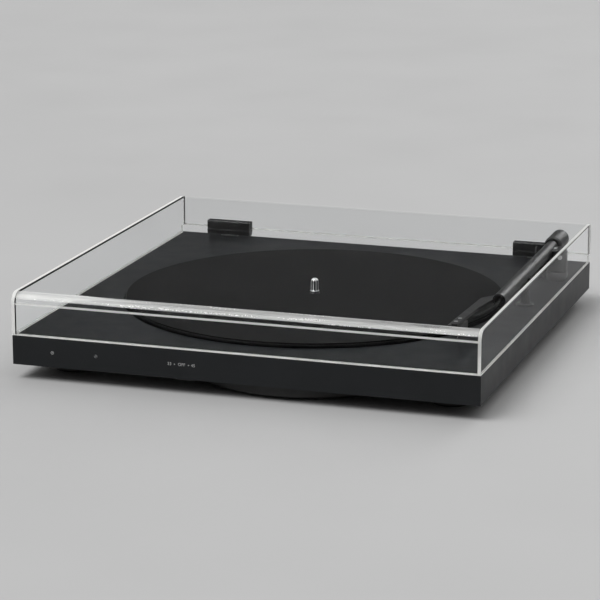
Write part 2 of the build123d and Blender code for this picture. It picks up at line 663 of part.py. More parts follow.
def arm_base():
    """Flared ring on the deck with the bearing tube below it, its two races and its nut."""
    low = TOP - BASE_TUBE_DROP
    seam = TOP + BASE_H
    foot = (BASE_R - BASE_FOOT_IN, 0, TOP)
    lip = (BASE_R - BASE_LIP_IN, 0, seam)
    inside = Polyline(lip, (RACE_R, 0, seam), (RACE_R, 0, low), (BASE_TUBE_R, 0, low),
                      (BASE_TUBE_R, 0, TOP), foot)
    flare = ThreePointArc(foot, (BASE_R, 0, TOP + BASE_H * 0.45), lip)
    keep("arm_base", Pos(ARM_X, ARM_Y, 0) * revolve(make_face([inside, flare]), Axis.Z))
    races = []
    for z0 in (low + 0.5, seam - 0.5 - RACE_H):
        races.append(turned([(ARM_SHAFT_R + RUN_GAP, z0), (RACE_R, z0), (RACE_R, z0 + RACE_H),
                             (ARM_SHAFT_R + RUN_GAP, z0 + RACE_H)], ARM_X, ARM_Y))
    keep("arm_races", *races)


def arm_post():
    """Turning post with a flat milled for the tube, its shaft, tilt race, tilt pin and socket screw."""
    z0 = TOP + BASE_H + SEAM
    top = TOP + POST_TOP
    post = turned([(0, z0), (POST_R - 0.3, z0), (POST_R, z0 + 0.3), (POST_R, top - 0.8),
                   (POST_R - 0.8, top), (0, top)], ARM_X, ARM_Y)
    post -= block(ARM_X - 2 * POST_R, POST_FLAT_X, ARM_Y - 2 * POST_R, ARM_Y + 2 * POST_R,
                  TOP + POST_FLAT_Z, top + 1)
    post -= rod(ARM_X, ARM_Y, z0 - 1, z0 + 6, ARM_SHAFT_R)
    keep("arm_shaft", rod(ARM_X, ARM_Y, TOP - BASE_TUBE_DROP + 0.5, z0 + 6, ARM_SHAFT_R))
    race_r = TILT_PIN_R + 1.9
    race = rod_x(POST_FLAT_X - 0.2, POST_FLAT_X + 2.5, ARM_Y, TILT_Z, race_r)
    pin = rod_x(TUBE_X - TUBE_R + 0.5, POST_FLAT_X + 5.5, ARM_Y, TILT_Z, TILT_PIN_R)
    post -= rod_x(POST_FLAT_X, POST_FLAT_X + 2.5, ARM_Y, TILT_Z, race_r)
    post -= rod_x(POST_FLAT_X, POST_FLAT_X + 5.5, ARM_Y, TILT_Z, TILT_PIN_R)
    keep("tilt_race", race - pin)
    keep("tilt_pin", pin)
    place = Pos(ARM_X, ARM_Y, TOP + SET_SCREW_RISE) * Rot(0, 0, SET_SCREW_DEG)
    post -= place * rod_x(POST_R - 4.5, POST_R + 1, 0, 0, 2.0)
    grub = rod_x(POST_R - 4.5, POST_R - 0.3, 0, 0, 2.0)
    socket = Pos(POST_R - 1.8, 0, 0) * Rot(0, 90, 0) * extrude(RegularPolygon(1.0, 6), 3)
    keep("arm_post", post)
    keep("arm_set_screw", place * (grub - socket))


def drooped(shape):
    """Turn a piece from level to the tube's slope, about the tilt axis."""
    return Pos(0, ARM_Y, TILT_Z) * Rot(TUBE_DROP_DEG, 0, 0) * Pos(0, -ARM_Y, -TILT_Z) * shape


def tube_height(y):
    """Height of the tube's axis at a place along it."""
    return TILT_Z - (ARM_Y - y) * tan(radians(TUBE_DROP_DEG))


def bladed(shape):
    """Put a piece drawn against a level blade, whose middle is at height 0, on the sloping blade."""
    return Pos(0, BLADE_ROOT_Y, tube_height(BLADE_ROOT_Y)) * Rot(BLADE_DROP_DEG, 0, 0) * Pos(
        0, -BLADE_ROOT_Y, 0) * shape


def blade_point(x, y, z):
    """A point drawn against the level blade, carried to the sloping blade."""
    a = radians(BLADE_DROP_DEG)
    dy = y - BLADE_ROOT_Y
    root_z = tube_height(BLADE_ROOT_Y)
    return (x, BLADE_ROOT_Y + dy * cos(a) - z * sin(a), root_z + dy * sin(a) + z * cos(a))


def blade():
    """Flattened headshell blade with a rounded shoulder and tip, and softened long edges."""
    outline = [(TUBE_X + dx, TUBE_FRONT_Y + dy) for dx, dy in BLADE_PLAN]
    face = make_face(Polyline(*outline, close=True))
    tips = face.vertices().sort_by(Axis.Y)[:2]
    face = fillet(tips, BLADE_TIP_R)
    shoulder = face.vertices().sort_by_distance((*outline[2], 0))[0]
    face = fillet(shoulder, BLADE_SHOULDER_R)
    plate = Pos(0, 0, -BLADE_T / 2) * extrude(face, BLADE_T)
    return bladed(plate)


def arm_tube():
    """Arm tube, the stub behind it, and the headshell that grows from its open front end."""
    tube = rod_y(TUBE_X, TUBE_FRONT_Y, TUBE_REAR_Y, TILT_Z, TUBE_R)
    tube -= rod_y(TUBE_X, TUBE_FRONT_Y - 1, TUBE_REAR_Y + 1, TILT_Z, TUBE_R - TUBE_WALL)
    tube = drooped(tube)
    plate = blade()
    tube -= plate
    tube -= rod_x(TUBE_X - TUBE_R - 1, TUBE_X + TUBE_R + 1, ARM_Y, TILT_Z, TILT_PIN_R + RUN_GAP)
    sleeve = rod_y(TUBE_X, TUBE_FRONT_Y + 2, TUBE_FRONT_Y + 18, TILT_Z, TUBE_R - TUBE_WALL)
    sleeve -= rod_y(TUBE_X, TUBE_FRONT_Y + 1, TUBE_FRONT_Y + 19, TILT_Z, TUBE_R - TUBE_WALL - 0.9)
    stub = rod_y(TUBE_X, TUBE_REAR_Y - 8, TUBE_REAR_Y, TILT_Z, TUBE_R - TUBE_WALL)
    stub += rod_y(TUBE_X, TUBE_REAR_Y, STUB_REAR_Y, TILT_Z, STUB_R)
    keep("arm_tube", tube)
    keep("headshell", plate + drooped(sleeve) - cart_screw_space())
    keep("arm_stub", drooped(stub))


def carted(shape):
    """Put a piece drawn about the stylus, against a level blade, under the blade at its yaw."""
    return bladed(Pos(STYLUS_X, STYLUS_Y, 0) * Rot(0, 0, -CART_YAW_DEG) * shape)


def cart_point(x, y, z):
    """A point drawn about the stylus, carried under the blade."""
    a = radians(-CART_YAW_DEG)
    return blade_point(STYLUS_X + x * cos(a) - y * sin(a), STYLUS_Y + x * sin(a) + y * cos(a), z)


def cart_screw(y):
    """A small screw through the blade, its head sunk flush."""
    top = BLADE_T / 2
    return rod(0, y, top - 0.9, top, 1.7) + rod(0, y, top - 5.0, top - 0.9, 0.9)


def cart_screw_space():
    """The two screws' holes."""
    return carted(cart_screw(CART_SCREW_Y[0]) + cart_screw(CART_SCREW_Y[1]))


def cartridge():
    """Cartridge body, its stylus holder, cantilever, screws and rear pins."""
    top = -BLADE_T / 2
    low = top - CART_H
    rear = CART_L - CART_NOSE
    body = block(-CART_W / 2, CART_W / 2, -CART_NOSE, rear, low, top)
    body = chamfer(body.edges().filter_by(Axis.Z), 0.8)
    body -= block(-CART_W, CART_W, -9, -5.5, low - 1, low + 2.4)
    for y in CART_SCREW_Y:
        body -= cart_screw(y)
    for x, z in PIN_ROWS:
        body += rod_y(x, rear - 1, rear + PIN_L, z, LEAD_R)
    keep("cartridge_body", carted(body))
    keep("cartridge_screws", *[carted(cart_screw(y)) for y in CART_SCREW_Y])
    holder = side_plate([(-5.2, low), (6.5, low), (6.5, low - 1.2), (4.6, low - 2.4), (2.2, low - 2.4),
                         (1.0, low - 0.8), (-5.2, low - 0.8)], -3.2, 3.2)
    keep("stylus_holder", carted(holder))
    shoulder = -STYLUS_DROP + 0.8
    stick = rod_between((0, 4.0, low - 1.8), (0, -0.4, shoulder), 0.3)
    tip = Pos(0, 0, -STYLUS_DROP + 0.5) * Cone(0.08, 0.3, 1.0)
    keep("cantilever", carted(stick + tip - holder))


def lead_path(points):
    """A wire's line: straight runs joined by arcs as large as the runs allow."""
    vectors = [Vector(*p) for p in points]
    radii = []
    for a, b, c in zip(vectors, vectors[1:], vectors[2:]):
        turn = (b - a).get_angle(c - b)
        radii.append(0.45 * min((b - a).length, (c - b).length) / tan(radians(turn / 2)))
    return FilletPolyline(*vectors, radius=radii), min(radii)


def cartridge_leads():
    """Four leads from the tube's open end, under the blade, to the cartridge's pins."""
    rear = CART_L - CART_NOSE + PIN_L
    axis_z = tube_height(TUBE_FRONT_Y)
    leads = []
    tightest = []
    for i, (x, z) in enumerate(PIN_ROWS):
        side = 0.8 * (i % 2)
        drop = 1.6 * (i // 2)
        start = (TUBE_X + 0.2 + 1.6 * (i % 2), TUBE_FRONT_Y + 6, axis_z + 0.6 - drop)
        points = [start, (start[0] - 0.6, TUBE_FRONT_Y - 5, axis_z - 0.9 - drop)]
        for k, (dx, dy, dz) in enumerate(LEAD_BENDS):
            points.append((TUBE_X + dx + (1.5 + 0.1 * k) * side, TUBE_FRONT_Y + dy, axis_z + dz - drop))
        points += [cart_point(x, rear + 7, z), cart_point(x, rear, z)]
        path, least = lead_path(points)
        tightest.append(least)
        leads.append(sweep(Plane(path @ 0, z_dir=path % 0) * Circle(LEAD_R), path=path))
    print("cartridge leads, tightest bend", round(min(tightest), 2))
    keep("cartridge_leads", *leads)


def counterweight():
    """Turned counterweight with a step at its front and a grub screw below."""
    y1 = WEIGHT_FRONT_Y + WEIGHT_L
    outline = [(STUB_R + RUN_GAP, 0), (WEIGHT_R - 1.2, 0), (WEIGHT_R - 0.4, 0.8), (WEIGHT_R - 0.4, 2.2),
               (WEIGHT_R, 2.6), (WEIGHT_R, WEIGHT_L - 0.8), (WEIGHT_R - 0.8, WEIGHT_L),
               (STUB_R + RUN_GAP, WEIGHT_L)]
    weight = Pos(TUBE_X, WEIGHT_FRONT_Y, TILT_Z) * Rot(-90, 0, 0) * turned(outline)
    middle = y1 - WEIGHT_L / 2
    hole = rod(TUBE_X, middle, TILT_Z - WEIGHT_R - 1, TILT_Z - STUB_R, 1.2)
    grub = rod(TUBE_X, middle, TILT_Z - WEIGHT_R + 0.4, TILT_Z - STUB_R - 0.3, 1.2)
    keep("counterweight", drooped(weight - hole))
    keep("weight_screw", drooped(grub))


def arm_rest():
    """Post beside the platter with a hooked saddle: low on the inside, high on the outside."""
    seat_r = TUBE_R + REST_GAP
    axis_z = tube_height(REST_Y)
    saddle = Circle(seat_r + HOOK_T) - Circle(seat_r)
    saddle -= Pos(-seat_r * 1.2 - 1.0, 0) * Rectangle(seat_r * 2.4, seat_r * 4)
    saddle -= Pos(0, seat_r * 2) * Rectangle(seat_r * 4, seat_r * 4)
    hook = Plane.XZ * (Pos(TUBE_X, axis_z) * saddle)
    hook = Pos(0, REST_Y, 0) * extrude(hook, 3.0, both=True)
    low = axis_z - seat_r
    neck = low - HOOK_T
    post = turned([(0, TOP), (REST_FLANGE_R, TOP), (REST_FLANGE_R, TOP + 0.8),
                   (REST_FLANGE_R - 0.6, TOP + 1.3), (REST_R + 0.8, TOP + 1.6), (REST_R, TOP + 2.6),
                   (REST_R - 0.5, neck + 0.8), (0, neck + 0.8)], REST_X, REST_Y)
    post -= Pos(TUBE_X, REST_Y, axis_z) * Rot(90, 0, 0) * Cylinder(seat_r + HOOK_T, 4 * REST_R)
    keep("arm_rest_post", post + rod(REST_X, REST_Y, DECK_UNDER - 5, TOP, STUD_R))
    keep("arm_rest_hook", hook)


def cue_lift():
    """Cueing lift: column, platform on its rod, side lever with its pin, and a nut under the deck."""
    column = turned([(0, TOP - 7), (LIFT_SPIGOT_R, TOP - 7), (LIFT_SPIGOT_R, TOP), (LIFT_R + 0.6, TOP),
                     (LIFT_R + 0.6, TOP + 1.2), (LIFT_R, TOP + 1.6), (LIFT_R, TOP + LIFT_TOP - 0.6),
                     (LIFT_R - 0.6, TOP + LIFT_TOP), (0, TOP + LIFT_TOP)], LIFT_X, LIFT_Y)
    column -= rod(LIFT_X, LIFT_Y, TOP + 2.0, TOP + LIFT_TOP + 1, LIFT_ROD_R + RUN_GAP)
    bar_top = tube_height(LIFT_BAR_Y) - TUBE_R - LIFT_GAP
    bar = block(LIFT_X - 2.5, LIFT_X + 2.5, LIFT_BAR_Y - 2, LIFT_Y + 3, bar_top - LIFT_BAR_T, bar_top)
    bar += block(LIFT_X - 2.5, TUBE_X + 4.5, LIFT_BAR_Y - 2.5, LIFT_BAR_Y + 2.5,
                 bar_top - LIFT_BAR_T, bar_top)
    bar = fillet(bar.edges().filter_by(Axis.Z), 1.0)
    keep("lift_platform", bar + rod(LIFT_X, LIFT_Y, TOP + 3.0, bar_top - LIFT_BAR_T / 2, LIFT_ROD_R))
    pin_x0 = LIFT_X - LIFT_R - 4.2
    pin_x1 = LIFT_X - LIFT_ROD_R - 0.8
    pin = rod_x(pin_x0, pin_x1, LIFT_Y, TOP + LEVER_Z, 0.8)
    hub = rod_x(LIFT_X - LIFT_R - 3.6, LIFT_X - LIFT_R - 0.4, LIFT_Y, TOP + LEVER_Z, 2.4)
    arm = Cylinder(1.0, LEVER_LEN - 2) + Pos(0, 0, LEVER_LEN / 2 - 2.5) * Cylinder(1.4, 5.0)
    arm = Pos(0, 0, LEVER_LEN / 2) * arm
    place = Pos(LIFT_X - LIFT_R - 2.0, LIFT_Y, TOP + LEVER_Z) * Rot(-LEVER_LEAN, 0, 0)
    lever = hub + place * arm - rod_x(pin_x0 - 1, pin_x1 + 1, LIFT_Y, TOP + LEVER_Z, 0.8 + RUN_GAP)
    keep("cue_lever", lever)
    keep("lift_column", column + pin)


def front_controls():
    """Front board on two posts, lamp and lens, speed lever with its switch, and the push-button."""
    x0, x1, y0, y1 = FRONT_BOARD
    board = block(x0, x1, y0, y1, BOARD_Z, BOARD_Z + PCB_T)
    board -= rod(BOSSES[0][0], BOSSES[0][1], BOARD_Z - 1, BOARD_Z + 3, BOSS_R + 0.5)
    for x, y in BOARD_POSTS:
        board -= rod(x, y, BOARD_Z - 1, BOARD_Z + 3, 1.1)
        BOARD_SCREWS.append(screw(x, y, BOARD_Z, 6.5, 2.0, 1.2, BOARD_SCREW_R))
    inner = -HALF_D + PLINTH_WALL
    z = TOP + LED_Z
    lens = rod_y(LED_X, -HALF_D, inner, z, LED_R) + rod_y(LED_X, inner, inner + 1.2, z, LED_R + 0.6)
    keep("lamp_lens", lens)
    lamp = block(LED_X - 1.6, LED_X + 1.6, inner + 1.6, inner + 4.6, BOARD_Z + PCB_T, BOARD_Z + PCB_T + 2.2)

    flange_x = SWITCH_W / 2 + 1.2
    flange_y = SWITCH_D / 2 + 1.0
    stem = block(-SWITCH_W / 2, SWITCH_W / 2, -SWITCH_D / 2, SWITCH_D / 2, UNDER - SWITCH_REACH,
                 BOARD_Z - 2.6)
    low_edges = stem.edges().group_by(Axis.Z)[0]
    stem = fillet(low_edges, 0.9)
    for i in range(5):
        stem -= Pos((i - 2) * 2.4, -SWITCH_D / 2, UNDER - 1.4) * Box(0.9, 0.9, 2.2)
    stem += block(-flange_x, flange_x, -flange_y, flange_y, COVER_TOP + 0.2, COVER_TOP + 1.8)
    keep("speed_lever", Pos(SWITCH_X, SWITCH_Y, 0) * stem)
    room = flange_x + SWITCH_TRAVEL + 0.4
    body = block(-room - 1.4, room + 1.4, -4.6, 4.6, COVER_TOP, BOARD_Z)
    body -= block(-room, room, -flange_y - 0.3, flange_y + 0.3, COVER_TOP - 1, BOARD_Z - 2.1)
    keep("speed_switch", Pos(SWITCH_X, SWITCH_Y, 0) * body)

    top = COVER_TOP + 2.4
    button = block(-PAIR_W / 2, PAIR_W / 2, -PAIR_D / 2, PAIR_D / 2, UNDER - PAIR_REACH, top)
    button = fillet(button.edges().group_by(Axis.Z)[0], 0.8)
    button += block(-PAIR_W / 2 - 1.1, PAIR_W / 2 + 1.1, -PAIR_D / 2 - 1, PAIR_D / 2 + 1,
                    COVER_TOP + 0.1, COVER_TOP + 1.2)
    keep("pair_button", Pos(PAIR_X, PAIR_Y, 0) * button)
    switch_z = BOARD_Z - 3.0
    switch = block(-3, 3, -3, 3, switch_z, BOARD_Z) + rod(0, 0, top + PAIR_TRAVEL + 0.1, switch_z, 1.6)
    keep("front_board", board, lamp, Pos(PAIR_X, PAIR_Y, 0) * switch)


def main_board_corners():
    """The places of the main board's four screws."""
    x0, x1, y0, y1 = MAIN_BOARD
    return [(x, y) for x in (x0 + 5, x1 - 5) for y in (y0 + 5, y1 - 5)]


def main_board():
    """Main board on four stand-offs in the pod, with its larger parts."""
    x0, x1, y0, y1 = MAIN_BOARD
    z0 = POD_FLOOR + MAIN_BOARD_RISE
    top = z0 + PCB_T
    board = block(x0, x1, y0, y1, z0, top)
    for x, y in main_board_corners():
        board -= rod(x, y, z0 - 1, top + 1, 1.25)
        BOARD_SCREWS.append(screw(x, y, top, PCB_T + 2.6, 2.0, 1.2, BOARD_SCREW_R, up=-1))
    keep("board_screws", *BOARD_SCREWS)
    parts = [rod(x0 + 14 + 12 * i, y0 + 14, top, top + 6.5, 4.0) for i in range(3)]
    parts += [block(x0 + 12 + 22 * i, x0 + 22 + 22 * i, y1 - 22, y1 - 12, top, top + 1.6) for i in range(2)]
    parts.append(block(x1 - 26, x1 - 8, y0 + 18, y0 + 32, top, top + 2.4))
    keep("main_board", board, *parts)


def rear_sockets():
    """Socket tray behind the rear wall with two audio sockets, an earth post and the power inlet."""
    inner = PANEL_BACK_Y
    face = PANEL_FACE_Y
    z = (UNDER + DECK_UNDER) / 2
    panel = block(RECESS_X0 - CHEEK_T, RECESS_X1 + CHEEK_T, inner, HALF_D - PLINTH_WALL,
                  COVER_TOP, DECK_UNDER)
    panel -= block(RECESS_X0, RECESS_X1, face, HALF_D, COVER_TOP - 1, DECK_UNDER + 1)
    sockets = []
    for i in range(2):
        x = JACK_X + i * JACK_PITCH
        panel -= rod_y(x, inner - 1, face + 1, z, JACK_SHOULDER_R)
        jack = rod_y(x, face, face + JACK_L, z, JACK_R) + rod_y(x, inner, face, z, JACK_SHOULDER_R)
        jack += block(x - 5.5, x + 5.5, inner - 8, inner, z - 6, z + 6)
        sockets.append(jack - rod_y(x, face + JACK_L - 8, face + JACK_L + 1, z, 1.7))
    keep("audio_sockets", *sockets)
    stud_r = 2.0
    panel -= rod_y(GROUND_X, inner - 1, face + 1, z, stud_r)
    nut = rod_y(GROUND_X, face + 1.4, face + 6.4, z, 4.5) - rod_y(GROUND_X, face + 1, face + 7, z, stud_r)
    for i in range(16):
        a = 2 * pi * i / 16
        nut -= rod_y(GROUND_X + 4.6 * cos(a), face + 1, face + 7, z + 4.6 * sin(a), 0.4)
    post = rod_y(GROUND_X, inner, face + 9, z, stud_r)
    post += rod_y(GROUND_X, face, face + 1.4, z, 3.2) + rod_y(GROUND_X, inner - 2.5, inner, z, 4.0)
    keep("earth_post", post)
    keep("earth_nut", nut)
    panel -= rod_y(INLET_X, inner - 1, face + 1, z, 4.0)
    inlet = block(INLET_X - 6, INLET_X + 6, inner - 10, inner, z - 6, z + 6)
    inlet += rod_y(INLET_X, inner, face + 1.4, z, 4.0)
    inlet -= rod_y(INLET_X, face + 1.4 - 9, face + 2, z, 2.75)
    keep("power_inlet", inlet + rod_y(INLET_X, face - 9, face - 0.5, z, 1.0))
    keep("socket_panel", panel)


def build():
    """Make every piece and write each to its own file."""
    keep("plinth_shell", plinth_shell())
    keep("bottom_cover", bottom_cover())
    feet()
    cover_screws()
    keep("platter", platter())
    keep("felt_mat", felt_mat())
    keep("spindle", spindle())
    spindle_bearing()
    motor()
    keep("drive_belt", drive_belt())
    lid()
    hinges()
    arm_base()
    deck_nuts()
    arm_post()
    arm_tube()
    cartridge()
    cartridge_leads()
    counterweight()
    arm_rest()
    cue_lift()
    front_controls()
    main_board()
    rear_sockets()
    os.makedirs("parts", exist_ok=True)
    for name, shape in PIECES.items():
        export_step(shape, "parts/" + name + ".step")


build()
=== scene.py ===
import bpy
import bmesh
import math
from mathutils import Matrix, Vector


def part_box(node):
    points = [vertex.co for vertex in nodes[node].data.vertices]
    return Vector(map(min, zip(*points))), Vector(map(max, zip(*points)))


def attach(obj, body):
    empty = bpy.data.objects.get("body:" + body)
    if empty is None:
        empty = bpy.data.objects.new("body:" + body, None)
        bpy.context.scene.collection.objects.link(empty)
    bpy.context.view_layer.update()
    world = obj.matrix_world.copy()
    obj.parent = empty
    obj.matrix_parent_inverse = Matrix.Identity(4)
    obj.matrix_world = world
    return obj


MM = 0.001

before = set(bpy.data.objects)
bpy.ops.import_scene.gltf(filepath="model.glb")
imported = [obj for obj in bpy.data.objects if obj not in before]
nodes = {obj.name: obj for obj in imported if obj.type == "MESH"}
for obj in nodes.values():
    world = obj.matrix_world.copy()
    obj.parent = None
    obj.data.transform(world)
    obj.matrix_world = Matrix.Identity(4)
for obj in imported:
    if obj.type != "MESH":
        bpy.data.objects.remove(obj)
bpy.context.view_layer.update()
PLINTH_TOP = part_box("plinth_shell")[1].z
LID_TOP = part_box("lid_sheet")[1].z
LID_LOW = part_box("lid_side_left")[0].z
BACK_LOW = PLINTH_TOP + 6.5 * MM     # lower edge of the lid's back
EDGE_GLOW = 0.9 * MM                 # height of the painted glow strip along a lower edge
BACK_BEND_HIGHLIGHT = 0.7 * MM            # height of the painted highlight strip over the back bend
TANGENT_LOW = LID_TOP - 9.0 * MM     # where the bends meet the upright faces
TANGENT_HIGH = LID_TOP - 8.0 * MM


# ---- materials ----------------------------------------------------------------------------------

class Look:
    """A material with its node tree and a few shorthands for building it."""

    def __init__(self, name, roughness=0.5, metallic=0.0, **sockets):
        self.mat = bpy.data.materials.new("finish_" + name)
        self.mat.use_nodes = True
        self.tree = self.mat.node_tree
        self.shader = self.tree.nodes["Principled BSDF"]
        self.shader.inputs["Roughness"].default_value = roughness
        self.shader.inputs["Metallic"].default_value = metallic
        for key, value in sockets.items():
            self.shader.inputs[key.replace("_", " ")].default_value = value
        given = self.node("ShaderNodeTexCoord")
        self.where = given.outputs["Object"]
        self.normal = given.outputs["Normal"]

    def node(self, kind, **settings):
        made = self.tree.nodes.new(kind)
        for key, value in settings.items():
            setattr(made, key, value)
        return made

    def link(self, a, b):
        self.tree.links.new(a, b)

    def noise(self, scale, detail=3.0, rough=0.5, stretch=None):
        made = self.node("ShaderNodeTexNoise")
        made.inputs["Scale"].default_value = scale
        made.inputs["Detail"].default_value = detail
        made.inputs["Roughness"].default_value = rough
        source = self.where
        if stretch:
            mapping = self.node("ShaderNodeMapping")
            mapping.inputs["Scale"].default_value = stretch
            self.link(source, mapping.inputs["Vector"])
            source = mapping.outputs["Vector"]
        self.link(source, made.inputs["Vector"])
        return made.outputs["Fac"]

    def span(self, fac, low, high, start=0.3, end=0.7):
        """A number that runs from low to high as fac runs from start to end."""
        made = self.node("ShaderNodeMapRange")
        made.inputs["From Min"].default_value = start
        made.inputs["From Max"].default_value = end
        made.inputs["To Min"].default_value = low
        made.inputs["To Max"].default_value = high
        self.link(fac, made.inputs["Value"])
        return made.outputs["Result"]

    def tint(self, fac, dark, light, start=0.3, end=0.7):
        """A colour that runs from dark to light as fac runs from start to end."""
        made = self.node("ShaderNodeValToRGB")
        ramp = made.color_ramp
        ramp.elements[0].position = start
        ramp.elements[1].position = end
        ramp.elements[0].color = (*dark, 1)
        ramp.elements[1].color = (*light, 1)
        self.link(fac, made.inputs["Fac"])
        return made.outputs["Color"]

    def colour(self, fac, dark, light, start=0.3, end=0.7):
        self.link(self.tint(fac, dark, light, start, end), self.shader.inputs["Base Color"])

    def rough(self, fac, low, high):
        self.link(self.span(fac, low, high), self.shader.inputs["Roughness"])

    def math(self, operation, a, b=0.0):
        made = self.node("ShaderNodeMath", operation=operation)
        for socket, value in zip(made.inputs, (a, b)):
            if isinstance(value, (int, float)):
                socket.default_value = value
            else:
                self.link(value, socket)
        return made.outputs[0]

    def above(self, value, limit):
        return self.math("GREATER_THAN", value, limit)

    def below(self, value, limit):
        return self.math("LESS_THAN", value, limit)

    def within(self, value, low, high):
        return self.both(self.above(value, low), self.below(value, high))

    def both(self, a, b):
        return self.math("MULTIPLY", a, b)

    def most(self, a, b):
        return self.math("MAXIMUM", a, b)

    def size_of(self, value):
        return self.math("ABSOLUTE", value)

    def part(self, vector, axis):
        made = self.node("ShaderNodeSeparateXYZ")
        self.link(vector, made.inputs[0])
        return made.outputs[axis]

    def facing(self, axis):
        """How far the surface faces along an axis of its own object."""
        return self.part(self.normal, axis)

    def place(self, axis):
        return self.part(self.where, axis)

    def bump(self, height, strength, distance):
        made = self.node("ShaderNodeBump")
        made.inputs["Strength"].default_value = strength
        made.inputs["Distance"].default_value = distance
        self.link(height, made.inputs["Height"])
        self.link(made.outputs["Normal"], self.shader.inputs["Normal"])


def grey(value, warm=0.0):
    return (value * (1 + warm), value, value * (1 - warm))


def satin_paint():
    """Dark satin finish of the plinth, with a very fine grain."""
    look = Look("plinth_satin", IOR=1.22)
    look.colour(look.noise(22, 4), grey(0.0165, -0.07), grey(0.0200, -0.07))
    look.rough(look.noise(55, 5), 0.38, 0.45)
    look.bump(look.noise(2600, 2), 0.10, 0.00004)
    return look.mat


def under_plastic():
    look = Look("under_plastic")
    look.colour(look.noise(60, 3), grey(0.008), grey(0.013))
    look.rough(look.noise(90, 3), 0.55, 0.68)
    look.bump(look.noise(1400, 3), 0.35, 0.00010)
    return look.mat


def rubber(name, dark, light):
    look = Look(name)
    look.colour(look.noise(120, 4), grey(dark), grey(light))
    look.rough(look.noise(160, 3), 0.72, 0.86)
    look.bump(look.noise(2200, 3), 0.35, 0.00006)
    return look.mat


def felt():
    """Felt of the mat: matted fibres, a soft nap and a faint sheen."""
    look = Look("felt", roughness=0.95, Specular_IOR_Level=0.12,
                Sheen_Weight=0.02, Sheen_Roughness=0.5)
    clumps = look.noise(420, 5, 0.65)
    fibres = look.noise(2100, 3, 0.7, stretch=(1.0, 0.42, 1.0))
    mix = look.node("ShaderNodeMath", operation="MULTIPLY_ADD")
    mix.inputs[1].default_value = 0.45
    look.link(clumps, mix.inputs[0])
    look.link(fibres, mix.inputs[2])
    look.colour(mix.outputs[0], grey(0.0050), grey(0.0100), 0.45, 0.98)
    look.bump(mix.outputs[0], 0.25, 0.00008)
    return look.mat


def brushed(name, dark, light, low, high, ring=False):
    """Metal with fine turning or brushing marks."""
    look = Look(name, metallic=1.0)
    stretch = (1.0, 1.0, 14.0) if ring else (14.0, 1.0, 14.0)
    lines = look.noise(420, 3, 0.6, stretch=stretch)
    look.colour(lines, dark, light)
    look.rough(lines, low, high)
    look.bump(lines, 0.12, 0.00003)
    return look.mat


def spindle_steel():
    """Turned steel of the spindle: ribs and tip in the steel's own bright colour, and painted shade in
    the grooves and on the collar, painted dark grey.
    """
    groove_r = 3.10 * MM
    crown_height = 10.4 * MM
    # painted shade: the dark grey given to the grooves between the ribs and to the collar below them
    painted_shade_grey = (0.045, 0.045, 0.047, 1)
    look = Look("spindle_steel", metallic=0.35)
    low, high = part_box("spindle")
    away = look.node("ShaderNodeVectorMath", operation="DISTANCE")
    flat = look.node("ShaderNodeVectorMath", operation="MULTIPLY")
    flat.inputs[1].default_value = (1, 1, 0)
    look.link(look.where, flat.inputs[0])
    look.link(flat.outputs["Vector"], away.inputs[0])
    away.inputs[1].default_value = ((low.x + high.x) / 2, (low.y + high.y) / 2, 0)
    # the grooves and the collar are the places that get the painted shade
    groove = look.both(look.below(away.outputs["Value"], groove_r), look.below(look.facing("Z"), 0.2))
    collar = look.below(look.place("Z"), high.z - crown_height)
    dark = look.most(groove, collar)
    lines = look.noise(420, 3, 0.6, stretch=(1.0, 1.0, 14.0))
    # steel colour on the ribs and tip, painted shade in the grooves and on the collar
    paint = look.node("ShaderNodeMix", data_type="RGBA")
    look.link(dark, paint.inputs["Factor"])
    look.link(look.tint(lines, grey(0.74), grey(0.86)), paint.inputs[6])
    paint.inputs[7].default_value = painted_shade_grey
    look.link(paint.outputs[2], look.shader.inputs["Base Color"])
    look.rough(lines, 0.30, 0.40)
    look.bump(lines, 0.10, 0.00003)
    return look.mat


def satin_black(name, dark, light, low, high, level=0.5):
    look = Look(name, Specular_IOR_Level=level)
    look.colour(look.noise(70, 3), grey(dark), grey(light))
    look.rough(look.noise(110, 4), low, high)
    look.bump(look.noise(1900, 2), 0.06, 0.00003)
    return look.mat


def board():
    look = Look("board", roughness=0.45)
    look.colour(look.noise(300, 3), (0.010, 0.045, 0.022), (0.018, 0.075, 0.036))
    look.bump(look.noise(900, 2), 0.1, 0.00005)
    return look.mat


def acrylic(name, painted_glow_of):
    """Clear sheet: faces polished, and a painted glow where the mask gives 1: a pale colour with less
    transmission and a rough face, standing in for light gathered at edges and bends.

    The low index of refraction keeps the pale floor's mirror image off the faces.
    """
    look = Look(name, IOR=1.04)
    # painted glow: the pale strips at edges and bends stand in for light gathered in the acrylic
    painted_glow = painted_glow_of(look)
    # the pale, warm-tinted colour of the painted glow, with less transmission there
    look.colour(painted_glow, (0.985, 0.99, 0.992), (0.97, 0.975, 0.95), 0.0, 1.0)
    look.link(look.span(painted_glow, 1.0, 0.40, 0.0, 1.0), look.shader.inputs["Transmission Weight"])
    haze = look.span(look.noise(14, 4), 0.0, 0.02)
    frost = look.span(look.noise(900, 3), 0.30, 0.42)
    blend = look.node("ShaderNodeMix")
    look.link(painted_glow, blend.inputs[0])
    look.link(haze, blend.inputs[2])
    look.link(frost, blend.inputs[3])
    look.link(blend.outputs[0], look.shader.inputs["Roughness"])
    return look.mat


def plate_painted_glow(look):
    """Painted glow: 1 on the narrow faces of a side plate and along its lower edge."""
    # painted glow on the plate's narrow faces and lower edge
    rims = look.below(look.size_of(look.facing("X")), 0.5)
    return look.most(rims, look.below(look.place("Z"), LID_LOW + EDGE_GLOW))


